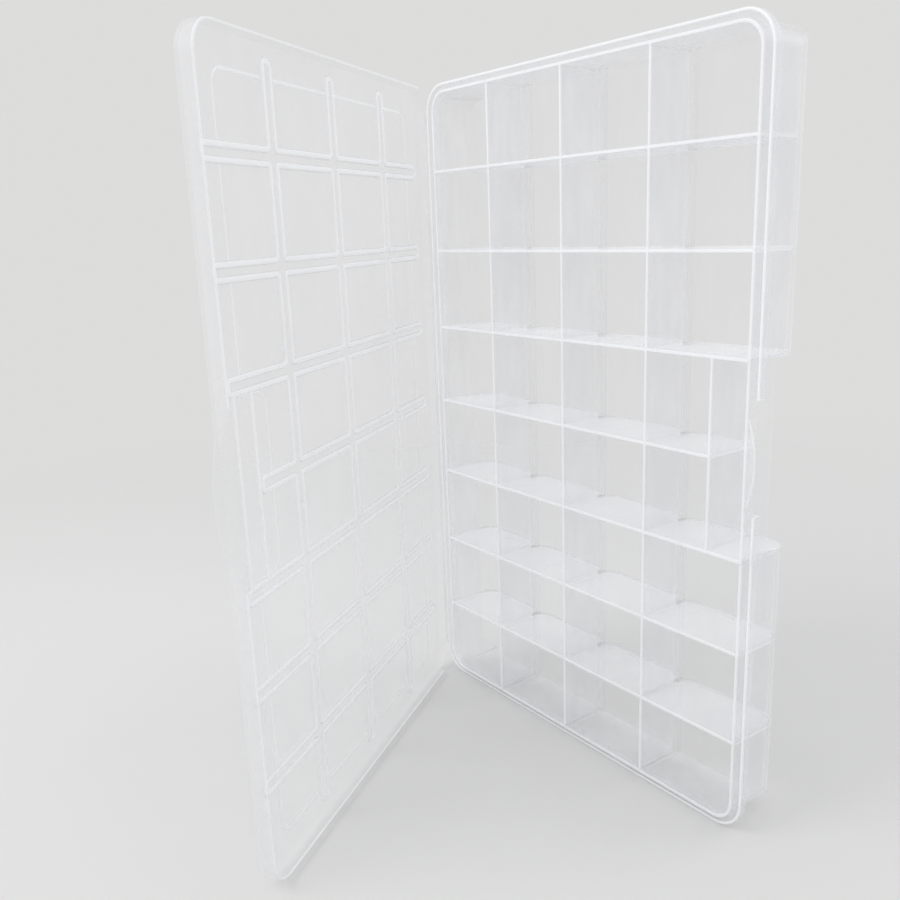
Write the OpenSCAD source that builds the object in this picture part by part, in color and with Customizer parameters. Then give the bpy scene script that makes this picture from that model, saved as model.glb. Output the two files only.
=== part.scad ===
// Hinged box for embroidery thread, moulded in clear polypropylene.
// A deep tray of 32 cells and a shallow ribbed lid share one living hinge along a long side.
// The box stands open on its short end, like a book.
// X runs along the tray from the hinge to the grip, Y from the open face to the floor, Z up.

/* [Cells] */
// Distance between partitions, middle to middle
column_pitch = 54; // [48:0.5:62]
// Distance from the hinge wall to the first partition, middle to middle
first_column = 47.3; // [42:0.1:56]
// Distance between row dividers, middle to middle
row_pitch = 42; // [38:0.5:48]
// Distance from an end wall to its nearest row divider, middle to middle
end_row = 40.1; // [36:0.1:48]
// Depth of a cell from the lip to the floor
cell_depth = 31.3; // [27:0.1:40]

/* [Tray walls] */
// Thickness of the outer walls and the floor
wall = 1.5; // [1.3:0.1:2]
// Thickness of the partitions between columns
partition_t = 1.5; // [1:0.1:2]
// Thickness of the dividers between rows
divider_t = 1.5; // [1:0.1:2]
// Radius along both sides of each column's floor
trough_r = 8.3; // [6:0.1:11]
// Radius where a column's floor meets the end walls
end_r = 3; // [2:0.1:5]
// Radius of the tray's four corners, on the middle of the wall
corner_r = 10; // [8:0.5:13]

/* [Rim] */
// Width of the channel around the lip on the grip side and the ends
channel_w = 2.5; // [2.3:0.1:3.5]
// Width of the channel on the hinge side
hinge_channel_w = 5.4; // [4:0.1:7]
// Depth of the channel below the lip
channel_depth = 4.4; // [3.6:0.1:6]
// Thickness of the channel's floor
web_t = 1.2; // [1:0.1:1.6]
// Thickness of the rim around the channel
rim_t = 1.4; // [1.2:0.1:1.8]
// Drop from the lip's edge to the rim's edge
rim_drop = 1.4; // [1:0.1:2]

/* [Grip] */
// Distance from the notch wall to the grip bar, middle to middle
notch_depth = 18.1; // [15:0.1:24]
// Radius where the notch wall meets the floor
notch_r = 3; // [2:0.1:5]
// Depth of the grip bar
grip_depth = 16.6; // [12:0.1:22]
// Height at which the rim starts again above the middle
rim_gap_top = 26.5; // [24:0.5:32]
// Distance below the middle where the rim stops
rim_gap_bottom = 21.8; // [21:0.1:32]
// Length of the tray's thumb tab along the grip
tray_tab_length = 38.6; // [30:0.1:40]
// How far the tray's thumb tab stands out from the grip bar
tray_tab_reach = 3.9; // [3:0.1:5]
// Thickness of the tray's thumb tab
tray_tab_t = 1.2; // [1:0.1:1.5]

/* [Lid] */
// Angle between the lid and its closed place
lid_open = 55.3; // [0:0.1:175]
// Thickness of the lid's panel
panel_t = 1.4; // [1.1:0.1:1.8]
// Gap between the lip and the panel when the lid is shut
panel_gap = 2.4; // [2.2:0.1:3]
// Thickness of the lid's skirt
skirt_t = 1.1; // [1:0.1:1.3]
// Gap between the skirt and the rim around it
skirt_gap = 0.7; // [0.5:0.05:0.8]
// Gap between the skirt's edge and what it meets, the channel's floor or the hinge side's rim
skirt_end_gap = 0.4; // [0.3:0.05:0.6]
// Radius of the scoop in the skirt at each end of the thumb tab
scoop_r = 49; // [40:1:60]
// Length of panel edge without a skirt, between the two scoops
scoop_flat = 24; // [16:1:30]
// Length of the lid's thumb tab
lid_tab_length = 50; // [40:1:60]
// How far the lid's thumb tab stands out from the panel
lid_tab_reach = 4.7; // [3:0.1:6]

/* [Lid ribs] */
// Height of the ribs that meet the cell walls
rib_h = 1.3; // [0.8:0.1:1.6]
// Width of a double rib
rib_w = 8; // [7:0.1:9]
// Width of the slot along a double rib
slot_w = 3; // [2.5:0.1:4]
// Distance from the middle of the tray's wall to the end of a double rib
rib_end_gap = 3.5; // [3:0.1:5]
// Width of the two single ribs across the grip
ridge_w = 2.4; // [2:0.1:3]
// Distance from the tray's notch wall to the single rib in front of it
notch_ridge_gap = 3.9; // [3:0.1:5]
// Distance from the tray's grip bar to the single rib in front of it
grip_ridge_gap = 9.5; // [8:0.1:11]
// Height of the raised outline on the panel
bead_h = 0.6; // [0.4:0.1:0.8]
// Width of the raised outline
bead_w = 1.8; // [1.4:0.1:2.4]
// Distance from the raised outline to the middle of the tray's wall on three sides
bead_inset = 16; // [13:0.1:18]
// Distance from the raised outline to the middle of the tray's end walls
bead_end_inset = 11.3; // [9:0.1:13]
// Distance the raised outline steps in around the grip
bead_step = 16.8; // [14:0.1:18]
// Radius of the raised outline's corners
bead_r = 7; // [5:0.5:9]

/* [Hinge] */
// Distance from the rim's outer face to the fold
fold_reach = 0.7; // [0.6:0.05:1]
// Thickness of the hinge strips
hinge_t = 0.4; // [0.3:0.05:0.5]
// Gap between each hinge strip and the fold
fold_gap = 0.15; // [0.1:0.01:0.2]

/* [Hidden] */
$fn = 96;

// How far a cut runs past the solid it cuts
over = 1;

// The tray. X is 0 on the middle of the hinge wall, Y is 0 at the lip, Z is 0 at mid height.
latch_x = first_column + 3 * column_pitch;
end_z = 3 * row_pitch + end_row;
half_wall = wall / 2;
outer_x0 = -half_wall;
outer_x1 = latch_x + half_wall;
outer_z = end_z + half_wall;
corner_z = end_z - corner_r;
trough_y = cell_depth - trough_r;
notch_x = latch_x - notch_depth;
notch_z = row_pitch - divider_t / 2;
partition_x = [for (i = [0:2]) first_column + i * column_pitch];
divider_z = [for (i = [0:6]) (3 - i) * row_pitch];
column_left = [half_wall, for (x = partition_x) x + partition_t / 2];
column_right = [for (x = partition_x) x - partition_t / 2, latch_x - half_wall];

// The rim
rim_x0 = outer_x0 - hinge_channel_w - rim_t;
rim_x1 = outer_x1 + channel_w + rim_t;
rim_z = outer_z + channel_w + rim_t;
rim_r = corner_r + half_wall + channel_w + rim_t;
web_y1 = channel_depth + web_t;

// The lid, drawn shut
lid_x1 = rim_x1 - rim_t - skirt_gap;
lid_z = rim_z - rim_t - skirt_gap;
lid_r = rim_r - rim_t - skirt_gap;
panel_y = -panel_gap;
skirt_y = channel_depth - skirt_end_gap;
low_skirt_y = rim_drop - skirt_end_gap;
skirt_start_x = rim_x0 + rim_r;
scoop_edge = 0.4;
scoop_z = scoop_flat / 2 + sqrt(2 * scoop_r * scoop_edge - scoop_edge * scoop_edge);
notch_ridge_x = notch_x - notch_ridge_gap;
grip_ridge_x = latch_x - grip_ridge_gap;
rib_x0 = rib_end_gap;
rib_x1 = latch_x - rib_end_gap;
rib_z = end_z - rib_end_gap;
row_rib_end = [for (i = [0:6]) i == 3 ? notch_ridge_x - ridge_w / 2
    : (i == 2 || i == 4) ? grip_ridge_x + rib_w / 2 : rib_x1];

// The hinge's axis, just outside the rim and midway between the rim's and the skirt's edges
axis_x = rim_x0 - fold_reach;
axis_y = (rim_drop + low_skirt_y) / 2;

// The origin lies in the middle of the rim's lower outer face, on which the open box stands
foot_x = (skirt_start_x + latch_x - corner_r) / 2;
foot_y = (rim_drop + web_y1) / 2;

// Carries an X-Z outline along Y
module along_y(y0, y1) {
    translate([0, y1, 0])
        rotate([90, 0, 0])
            linear_extrude(y1 - y0)
                children();
}

// Carries a Z-Y outline along X
module along_x(x0, x1) {
    translate([x1, 0, 0])
        rotate([0, -90, 0])
            linear_extrude(x1 - x0)
                children();
}

// Carries an X-Y outline along Z
module along_z(z0, z1) {
    translate([0, 0, z0])
        linear_extrude(z1 - z0)
            children();
}

// A block between two corners
module block(x0, x1, y0, y1, z0, z1) {
    translate([x0, y0, z0])
        cube([x1 - x0, y1 - y0, z1 - z0]);
}

// A rectangle with round corners, even about the second axis
module round_rect(x0, x1, half, r) {
    translate([x0 + r, -half])
        square([x1 - x0 - 2 * r, 2 * half]);
    translate([x0, r - half])
        square([x1 - x0, 2 * (half - r)]);
    for (x = [x0 + r, x1 - r], z = [r - half, half - r])
        translate([x, z])
            circle(r);
}

// A bar with round ends
module round_bar(x0, x1, width) {
    translate([x0 + width / 2, -width / 2])
        square([x1 - x0 - width, width]);
    for (x = [x0 + width / 2, x1 - width / 2])
        translate([x, 0])
            circle(width / 2);
}

// A slice of a disc, cut straight at x0, that stands out by reach over the given length
module tab_outline(x0, reach, length) {
    r = (length * length / 4 + reach * reach) / (2 * reach);
    intersection() {
        translate([x0 + reach - r, 0])
            circle(r);
        translate([x0, -length])
            square([2 * reach, 2 * length]);
    }
}

// A quarter of a ring between two radii, in the quadrant given by sx and sz
module quarter_ring(x, z, r_in, r_out, sx, sz) {
    translate([x, z])
        mirror([sx < 0 ? 1 : 0, 0])
            mirror([0, sz < 0 ? 1 : 0])
                intersection() {
                    difference() {
                        circle(r_out);
                        circle(r_in);
                    }
                    square(r_out + over);
                }
}

// The section of a hollow from a to b that is open at the front and has two rounded far corners
module trough(a, b, front, depth, ra, rb) {
    translate([a, front])
        square([ra, depth - ra - front]);
    translate([b - rb, front])
        square([rb, depth - rb - front]);
    translate([a + ra, front])
        square([b - a - ra - rb, depth - front]);
    translate([a + ra, depth - ra])
        circle(ra);
    translate([b - rb, depth - rb])
        circle(rb);
}

// Moves the tray's drawing to the part's own frame
module stand() {
    translate([-foot_x, -foot_y, rim_z])
        children();
}

// Swings a lid piece, drawn shut, to its open place
module lid_place() {
    stand()
        translate([axis_x, axis_y, 0])
            rotate([0, 0, -lid_open])
                translate([-axis_x, -axis_y, 0])
                    children();
}

module tray_colour() {
    color([0.90, 0.93, 0.95, 0.6])
        stand()
            children();
}

module floor_colour() {
    color([0.82, 0.86, 0.88, 0.6])
        stand()
            children();
}

module rim_colour() {
    color([0.95, 0.97, 0.98, 0.7])
        stand()
            children();
}

module lid_colour() {
    color([0.88, 0.92, 0.94, 0.6])
        lid_place()
            children();
}

module rib_colour() {
    color([0.96, 0.98, 0.99, 0.7])
        lid_place()
            children();
}

// The tray's five straight walls down to where the floor starts to round
module wall_hinge() {
    tray_colour()
        block(outer_x0, half_wall, 0, trough_y, -corner_z, corner_z);
}

module wall_top() {
    tray_colour()
        block(corner_r, latch_x - corner_r, 0, trough_y, end_z - half_wall, outer_z);
}

module wall_bottom() {
    tray_colour()
        block(corner_r, latch_x - corner_r, 0, trough_y, -outer_z, half_wall - end_z);
}

module wall_latch_upper() {
    tray_colour()
        block(latch_x - half_wall, outer_x1, 0, trough_y, notch_z, corner_z);
}

module wall_latch_lower() {
    tray_colour()
        block(latch_x - half_wall, outer_x1, 0, trough_y, -corner_z, -notch_z);
}

// The four rounded corners between those walls
module corner_walls() {
    tray_colour()
        along_y(0, trough_y)
            for (sx = [-1, 1], sz = [-1, 1])
                quarter_ring(sx < 0 ? corner_r : latch_x - corner_r, sz * corner_z,
                    corner_r - half_wall, corner_r + half_wall, sx, sz);
}

// The bar that the fingers close round, in line with the grip side's wall
module handle_grip() {
    tray_colour()
        block(latch_x - half_wall, outer_x1, 0, grip_depth, -notch_z, notch_z);
}

// The wall behind the fingers
module notch_wall() {
    tray_colour()
        block(notch_x - half_wall, notch_x + half_wall, 0, trough_y, -notch_z, notch_z);
}

// A wall between two columns, as deep as the valley between their floors
module partition(i) {
    tray_colour()
        block(partition_x[i] - partition_t / 2, partition_x[i] + partition_t / 2,
            0, trough_y, half_wall - end_z, end_z - half_wall);
}

// The shelves between two rows, one in each column, shaped to the column's floor
module row_divider(i) {
    short = divider_z[i] == 0;
    tray_colour()
        along_z(divider_z[i] - divider_t / 2, divider_z[i] + divider_t / 2)
            for (k = [0:3])
                trough(column_left[k], short && k == 3 ? notch_x - half_wall : column_right[k],
                    0, cell_depth, trough_r, short && k == 3 ? notch_r : trough_r);
}

// The plain outline of the tray's body, grown or shrunk from the middle of its walls
module body_outline(grow) {
    round_rect(-grow, latch_x + grow, end_z + grow, corner_r + grow);
}

// The floor of one column between two heights, from the middle of one partition to the next
module floor_part(left, right, a, b, rb, z0, z1) {
    difference() {
        intersection() {
            along_z(z0, z1)
                intersection() {
                    trough(a - wall, b + wall, 0, cell_depth + wall, trough_r + wall, rb + wall);
                    translate([left, trough_y])
                        square([right - left, trough_r + wall + over]);
                }
            along_y(trough_y - over, cell_depth + wall + over)
                body_outline(half_wall);
            along_x(left - over, right + over)
                trough(-outer_z, outer_z, 0, cell_depth + wall, end_r + wall, end_r + wall);
        }
        intersection() {
            along_z(-end_z, end_z)
                trough(a, b, 0, cell_depth, trough_r, rb);
            along_y(0, cell_depth + wall)
                body_outline(-half_wall);
            along_x(left - over, right + over)
                trough(half_wall - end_z, end_z - half_wall, 0, cell_depth, end_r, end_r);
        }
    }
}

module floor_column(i) {
    left = i == 0 ? outer_x0 : partition_x[i - 1];
    floor_colour()
        if (i < 3)
            floor_part(left, partition_x[i], column_left[i], column_right[i], trough_r, -outer_z, outer_z);
        else {
            floor_part(left, outer_x1, column_left[i], column_right[i], trough_r, notch_z, outer_z);
            floor_part(left, notch_x + half_wall, column_left[i], notch_x - half_wall, notch_r,
                -notch_z, notch_z);
            floor_part(left, outer_x1, column_left[i], column_right[i], trough_r, -outer_z, -notch_z);
        }
}

// The section of the rim and its channel's floor, from the tray's wall at 0 outwards
module rim_section(channel) {
    translate([0, channel_depth])
        square([channel + rim_t, web_t]);
    translate([channel, rim_drop])
        square([rim_t, channel_depth - rim_drop + over / 2]);
}

module rim_hinge() {
    rim_colour()
        along_z(-corner_z, corner_z)
            translate([outer_x0, 0])
                mirror([1, 0])
                    rim_section(hinge_channel_w);
}

module rim_end(side) {
    rim_colour()
        along_x(corner_r, latch_x - corner_r)
            mirror([side < 0 ? 1 : 0, 0])
                translate([outer_z, 0])
                    rim_section(channel_w);
}

module rim_top() {
    rim_end(1);
}

module rim_bottom() {
    rim_end(-1);
}

module rim_latch_upper() {
    rim_colour()
        along_z(rim_gap_top, corner_z)
            translate([outer_x1, 0])
                rim_section(channel_w);
}

module rim_latch_lower() {
    rim_colour()
        along_z(-corner_z, -rim_gap_bottom)
            translate([outer_x1, 0])
                rim_section(channel_w);
}

// The rim round the tray's four corners
module rim_corners() {
    rim_colour()
        difference() {
            intersection() {
                union() {
                    along_y(channel_depth, web_y1)
                        round_rect(rim_x0, rim_x1, rim_z, rim_r);
                    along_y(rim_drop, web_y1)
                        difference() {
                            round_rect(rim_x0, rim_x1, rim_z, rim_r);
                            round_rect(rim_x0 + rim_t, rim_x1 - rim_t, rim_z - rim_t, rim_r - rim_t);
                        }
                }
                for (x = [rim_x0 - over, latch_x - corner_r], z = [-rim_z - over, corner_z])
                    block(x, x < 0 ? corner_r : rim_x1 + over, 0, web_y1 + over, z, z < 0 ? -corner_z : rim_z + over);
            }
            along_y(0, web_y1 + over)
                body_outline(half_wall);
        }
}

// The thumb tab on the grip bar's front edge
module tray_thumb_tab() {
    rim_colour()
        along_y(0, tray_tab_t)
            tab_outline(outer_x1, tray_tab_reach, tray_tab_length);
}

// The tray's half of the living hinge
module tray_hinge_strip() {
    rim_colour()
        block(axis_x + fold_gap, rim_x0, rim_drop, rim_drop + hinge_t, -corner_z, corner_z);
}

// The outline of the lid, shrunk by the given amount
module lid_outline(shrink) {
    round_rect(rim_x0 + shrink, lid_x1 - shrink, lid_z - shrink, lid_r - shrink);
}

module lid_panel() {
    lid_colour()
        along_y(panel_y - panel_t, panel_y)
            lid_outline(0);
}

// The skirt stands on the panel's inner face and drops into the tray's channel
module lid_skirt_hinge() {
    lid_colour()
        block(rim_x0, rim_x0 + skirt_t, panel_y, low_skirt_y, -corner_z, corner_z);
}

module lid_skirt_top() {
    lid_colour()
        block(skirt_start_x, latch_x - corner_r, panel_y, skirt_y, lid_z - skirt_t, lid_z);
}

module lid_skirt_bottom() {
    lid_colour()
        block(skirt_start_x, latch_x - corner_r, panel_y, skirt_y, -lid_z, skirt_t - lid_z);
}

// One half of the grip side's skirt, scooped away towards the thumb tab
module lid_skirt_latch(side) {
    lid_colour()
        along_x(lid_x1 - skirt_t, lid_x1)
            mirror([side < 0 ? 1 : 0, 0])
                difference() {
                    translate([scoop_z, panel_y])
                        square([corner_z - scoop_z, skirt_y - panel_y]);
                    translate([scoop_flat / 2, panel_y + scoop_r])
                        circle(scoop_r, $fn = 360);
                }
}

module lid_skirt_latch_upper() {
    lid_skirt_latch(1);
}

module lid_skirt_latch_lower() {
    lid_skirt_latch(-1);
}

// The skirt round the lid's corners, low on the hinge side where it meets the rim
module lid_skirt_corners() {
    hinge_corner_x = rim_x0 + lid_r;
    lid_colour()
        for (sz = [-1, 1]) {
            along_y(panel_y, skirt_y)
                quarter_ring(latch_x - corner_r, sz * corner_z, lid_r - skirt_t, lid_r, 1, sz);
            along_y(panel_y, low_skirt_y) {
                quarter_ring(hinge_corner_x, sz * corner_z, lid_r - skirt_t, lid_r, -1, sz);
                translate([hinge_corner_x, sz < 0 ? -lid_z : lid_z - skirt_t])
                    square([skirt_start_x - hinge_corner_x, skirt_t]);
            }
        }
}

module lid_thumb_tab() {
    lid_colour()
        along_y(panel_y - panel_t, panel_y)
            tab_outline(lid_x1, lid_tab_reach, lid_tab_length);
}

// The outline of a double rib in front of a partition or a row divider
module column_band(i, width, shorter) {
    translate([partition_x[i], 0])
        rotate(90)
            round_bar(shorter - rib_z, rib_z - shorter, width);
}

module row_band(i, width, shorter) {
    translate([0, divider_z[i]])
        round_bar(rib_x0 + shorter, row_rib_end[i] - shorter, width);
}

// The slots of all the double ribs, which run through where the ribs cross
module rib_slots() {
    shorter = (rib_w - slot_w) / 2;
    for (i = [0:2])
        column_band(i, slot_w, shorter);
    for (i = [0:6])
        row_band(i, slot_w, shorter);
}

module lid_column_rib(i) {
    rib_colour()
        along_y(panel_y, panel_y + rib_h)
            difference() {
                column_band(i, rib_w, 0);
                rib_slots();
            }
}

module lid_row_rib(i) {
    rib_colour()
        along_y(panel_y, panel_y + rib_h)
            difference() {
                row_band(i, rib_w, 0);
                rib_slots();
                for (k = [0:2])
                    column_band(k, rib_w, 0);
                translate([grip_ridge_x - ridge_w / 2, -notch_z])
                    square([ridge_w, 2 * notch_z]);
            }
}

// The single ribs across the grip run between the third and fifth double ribs
module ridge_area(x) {
    translate([x - ridge_w / 2, rib_w / 2 - row_pitch])
        square([ridge_w, 2 * row_pitch - rib_w]);
}

module cross_ridge(x) {
    rib_colour()
        along_y(panel_y, panel_y + rib_h)
            ridge_area(x);
}

module lid_notch_ridge() {
    cross_ridge(notch_ridge_x);
}

module lid_grip_ridge() {
    cross_ridge(grip_ridge_x);
}

// The area inside the raised outline, which steps in around the grip
module bead_area(grow) {
    difference() {
        round_rect(bead_inset - grow, latch_x - bead_inset + grow, end_z - bead_end_inset + grow,
            bead_r + grow);
        round_rect(latch_x - bead_inset - bead_step + grow, latch_x, row_pitch - rib_w / 2 - grow,
            bead_r - grow);
    }
}

module lid_bead() {
    rib_colour()
        along_y(panel_y, panel_y + bead_h)
            difference() {
                bead_area(bead_w / 2);
                bead_area(-bead_w / 2);
                for (i = [0:2])
                    column_band(i, rib_w, 0);
                for (i = [0:6])
                    row_band(i, rib_w, 0);
                ridge_area(notch_ridge_x);
            }
}

// The lid's half of the living hinge
module lid_hinge_strip() {
    lid_colour()
        block(axis_x + fold_gap, rim_x0, low_skirt_y - hinge_t, low_skirt_y, -corner_z, corner_z);
}

wall_hinge();
wall_top();
wall_bottom();
wall_latch_upper();
wall_latch_lower();
corner_walls();
handle_grip();
notch_wall();
partition(0);  // partition_1
partition(1);  // partition_2
partition(2);  // partition_3
row_divider(0);  // row_divider_1
row_divider(1);  // row_divider_2
row_divider(2);  // row_divider_3
row_divider(3);  // row_divider_4
row_divider(4);  // row_divider_5
row_divider(5);  // row_divider_6
row_divider(6);  // row_divider_7
floor_column(0);  // floor_column_1
floor_column(1);  // floor_column_2
floor_column(2);  // floor_column_3
floor_column(3);  // floor_column_4
rim_hinge();
rim_top();
rim_bottom();
rim_latch_upper();
rim_latch_lower();
rim_corners();
tray_thumb_tab();
tray_hinge_strip();
lid_panel();
lid_skirt_hinge();
lid_skirt_top();
lid_skirt_bottom();
lid_skirt_latch_upper();
lid_skirt_latch_lower();
lid_skirt_corners();
lid_thumb_tab();
lid_column_rib(0);  // lid_column_rib_1
lid_column_rib(1);  // lid_column_rib_2
lid_column_rib(2);  // lid_column_rib_3
lid_row_rib(0);  // lid_row_rib_1
lid_row_rib(1);  // lid_row_rib_2
lid_row_rib(2);  // lid_row_rib_3
lid_row_rib(3);  // lid_row_rib_4
lid_row_rib(4);  // lid_row_rib_5
lid_row_rib(5);  // lid_row_rib_6
lid_row_rib(6);  // lid_row_rib_7
lid_notch_ridge();
lid_grip_ridge();
lid_bead();
lid_hinge_strip();
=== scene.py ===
import math

import bmesh
import bpy
from mathutils import Matrix, Vector


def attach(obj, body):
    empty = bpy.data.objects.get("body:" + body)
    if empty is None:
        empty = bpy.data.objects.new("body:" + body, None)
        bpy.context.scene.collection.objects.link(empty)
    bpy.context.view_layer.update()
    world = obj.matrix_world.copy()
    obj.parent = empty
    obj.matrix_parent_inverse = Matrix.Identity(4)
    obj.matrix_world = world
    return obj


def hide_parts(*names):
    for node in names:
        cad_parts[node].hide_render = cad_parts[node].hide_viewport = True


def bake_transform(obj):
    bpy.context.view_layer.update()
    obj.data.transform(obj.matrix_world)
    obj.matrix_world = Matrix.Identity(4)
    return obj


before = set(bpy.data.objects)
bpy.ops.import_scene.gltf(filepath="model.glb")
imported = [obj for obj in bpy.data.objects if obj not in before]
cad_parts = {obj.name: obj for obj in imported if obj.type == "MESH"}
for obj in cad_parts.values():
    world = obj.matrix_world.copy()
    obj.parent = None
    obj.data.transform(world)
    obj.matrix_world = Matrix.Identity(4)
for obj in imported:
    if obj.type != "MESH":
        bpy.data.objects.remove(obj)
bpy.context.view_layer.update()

scene = bpy.context.scene

# Camera: at the photograph's angle, found by fitting the grid of cells in the tray and the lid.
# A plain camera without depth of field. The shift is the photograph's own small framing offset.
CAMERA_PLACE = Vector((0.33172, -0.30754, 0.26824))
CAMERA_RIGHT = Vector((0.58917, 0.80717, -0.03692))
CAMERA_UP = Vector((-0.18380, 0.17837, 0.96665))
CAMERA_BACK = Vector((0.78683, -0.56273, 0.25344))
FOCAL_MM = 37.11
SENSOR_MM = 36.0
NEAREST = 0.01
FRAME_SHIFT = (-0.0067, 0.0208)

lens = bpy.data.cameras.new("photo_camera")
lens.sensor_width = SENSOR_MM
lens.lens = FOCAL_MM
lens.shift_x, lens.shift_y = FRAME_SHIFT
lens.clip_start = NEAREST
camera = bpy.data.objects.new("photo_camera", lens)
place = Matrix((CAMERA_RIGHT, CAMERA_UP, CAMERA_BACK)).transposed().to_4x4()
place.translation = CAMERA_PLACE
camera.matrix_world = place
scene.collection.objects.link(camera)
scene.camera = camera

# Tray moulding: cell walls, shelves and floor troughs are one even skin of clear polypropylene.
# The middle of the skin is laid out as sheets that share their edges, then thickened both ways,
# and its open lips are rounded as the mould's are. Lengths are in millimetres unless named as metres.
MM = 0.001
FOOT = Vector((103.2, 3.5, -170.75))
WALL = 1.5
COLUMNS = (0.0, 47.3, 101.3, 155.3, 209.3)
ROWS = (126.0, 84.0, 42.0, 0.0, -42.0, -84.0, -126.0)
END_Z = 166.1
CORNER_R = 10.0
CORNER_Z = END_Z - CORNER_R
FLOOR_Y = 32.05
TROUGH_R = 9.05
END_ROLL_R = 3.75
NOTCH_X = 191.2
NOTCH_Z = 42.0
NOTCH_R = 3.75
GRIP_Y = 16.6
CORNER_MAP = 12.0  # how far from a side wall the round corners draw the floor's points in
ARC_STEPS = 8
TINY = 1e-6
JOIN = 0.02  # points no further apart are joined
SLIVER = 0.005  # edges no longer than this are dissolved
LEVEL = 0.001  # how near to the lip's height an edge of the lip lies
LIP_ROUND = 0.38
LIP_SEGMENTS = 2
LIP_MERGE = 0.3
CRISP_ANGLE = math.radians(50)
UPRIGHT = 0.9999  # a face whose normal lies this much along x or z is shaded flat
UPRIGHT_FLOOR = 0.98
SHELF, PARTITION, FLOOR, GRIP = range(4)  # material slots


def to_part(point):
    """From the drawing's millimetres (0 on the hinge wall, lip and mid height) to the part's metres."""
    return (Vector(point) - FOOT) * MM


def place_mesh(name, builder):
    """Turns a finished mesh builder into an object of the scene."""
    mesh = bpy.data.meshes.new(name)
    builder.to_mesh(mesh)
    builder.free()
    piece = bpy.data.objects.new(name, mesh)
    scene.collection.objects.link(piece)
    return piece


def make_object(name, builder, body):
    """A smooth-shaded piece that rides on a body, with its sharper bends kept crisp."""
    piece = place_mesh(name, builder)
    piece.data.shade_smooth()
    piece.data.set_sharp_from_angle(angle=CRISP_ANGLE)
    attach(piece, body)
    return piece


def add_face(builder, points, slot):
    """A face through points of the drawing."""
    face = builder.faces.new([builder.verts.new(to_part(point)) for point in points])
    face.material_index = slot


def add_wall(builder, a, b, slot):
    """The sheet between a stretch of a wall's lower line and the lip above it."""
    add_face(builder, ((a[0], 0, a[2]), a, b, (b[0], 0, b[2])), slot)


def quarter_steps(radius):
    """Distances from a wall, 0 to radius, at even angles round a quarter circle."""
    return [radius * (1 - math.cos(math.pi / 2 * k / ARC_STEPS)) for k in range(ARC_STEPS + 1)]


def rolled(radius, into):
    """The floor's depth where it rolls up: into is the distance past the start of the roll."""
    if into <= 0:
        return FLOOR_Y
    return FLOOR_Y - radius + math.sqrt(max(0.0, radius ** 2 - into ** 2))


def trough_line(column, narrow, z):
    """The floor's section of one column at height z, from its left wall to its right wall."""
    left, right = COLUMNS[column], NOTCH_X if narrow else COLUMNS[column + 1]
    right_r = NOTCH_R if narrow else TROUGH_R
    marks = [left + step for step in quarter_steps(TROUGH_R)]
    if column == 3:
        marks.append(NOTCH_X - NOTCH_R)
    marks += [right - step for step in reversed(quarter_steps(right_r))]
    round_corner = max(0.0, abs(z) - CORNER_Z)
    inset = CORNER_R - math.sqrt(max(0.0, CORNER_R ** 2 - round_corner ** 2))
    line = []
    for x in marks:
        if column == 0 and x < left + CORNER_MAP:
            x = left + inset + (x - left) * (CORNER_MAP - inset) / CORNER_MAP
        if column == 3 and not narrow and x > right - CORNER_MAP:
            x = right - inset - (right - x) * (CORNER_MAP - inset) / CORNER_MAP
        line.append((x, min(rolled(TROUGH_R, left + TROUGH_R - x), rolled(right_r, x - right + right_r),
                            rolled(END_ROLL_R, abs(z) - (END_Z - END_ROLL_R))), z))
    return line


end_stations = [CORNER_Z + CORNER_R * math.sin(math.pi / 2 * k / ARC_STEPS) for k in range(ARC_STEPS, -1, -1)]
stations = end_stations + list(ROWS) + [-z for z in reversed(end_stations)]
skin = bmesh.new()
for upper, lower in zip(stations, stations[1:]):
    in_notch = -NOTCH_Z <= lower and upper <= NOTCH_Z
    for column in range(4):
        narrow = column == 3 and in_notch
        top, bottom = trough_line(column, narrow, upper), trough_line(column, narrow, lower)
        for k in range(len(top) - 1):
            add_face(skin, (top[k], top[k + 1], bottom[k + 1], bottom[k]), FLOOR)
        add_wall(skin, top[0], bottom[0], PARTITION)
        if column == 3:
            add_wall(skin, top[-1], bottom[-1], PARTITION)
    if in_notch:
        add_wall(skin, (COLUMNS[4], GRIP_Y, upper), (COLUMNS[4], GRIP_Y, lower), GRIP)
for z in (END_Z,) + ROWS + (-END_Z,):
    for column in range(4):
        outline = trough_line(column, column == 3 and abs(z) <= NOTCH_Z, z)
        if column == 3 and abs(z) == NOTCH_Z:
            corner = [p for p in outline if p[0] >= NOTCH_X - NOTCH_R - TINY]
            beyond = [p for p in trough_line(column, False, z) if p[0] > NOTCH_X - NOTCH_R + TINY]
            grip_end = [(COLUMNS[4], GRIP_Y, z), (COLUMNS[4], 0, z), (NOTCH_X, 0, z)]
            add_face(skin, corner[::-1] + beyond + grip_end, SHELF)
        if abs(z) < END_Z:
            add_face(skin, outline + [(outline[-1][0], 0, z), (outline[0][0], 0, z)], SHELF)
        else:
            for a, b in zip(outline, outline[1:]):
                add_wall(skin, a, b, PARTITION)
bmesh.ops.remove_doubles(skin, verts=skin.verts, dist=JOIN * MM)
bmesh.ops.dissolve_degenerate(skin, edges=skin.edges, dist=SLIVER * MM)
lip_height = to_part((0, 0, 0)).y
lip_edges = [float(all(abs(vert.co.y - lip_height) < LEVEL * MM for vert in edge.verts)) for edge in skin.edges]
tray_cells = make_object("tray_cells", skin, "tray")
tray_cells.data.attributes.new("bevel_weight_edge", "FLOAT", "EDGE").data.foreach_set("value", lip_edges)
tray_cells.data.polygons.foreach_set("use_smooth", [
    max(abs(face.normal.x), abs(face.normal.z)) < (UPRIGHT_FLOOR if face.material_index == FLOOR else UPRIGHT)
    for face in tray_cells.data.polygons])
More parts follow.
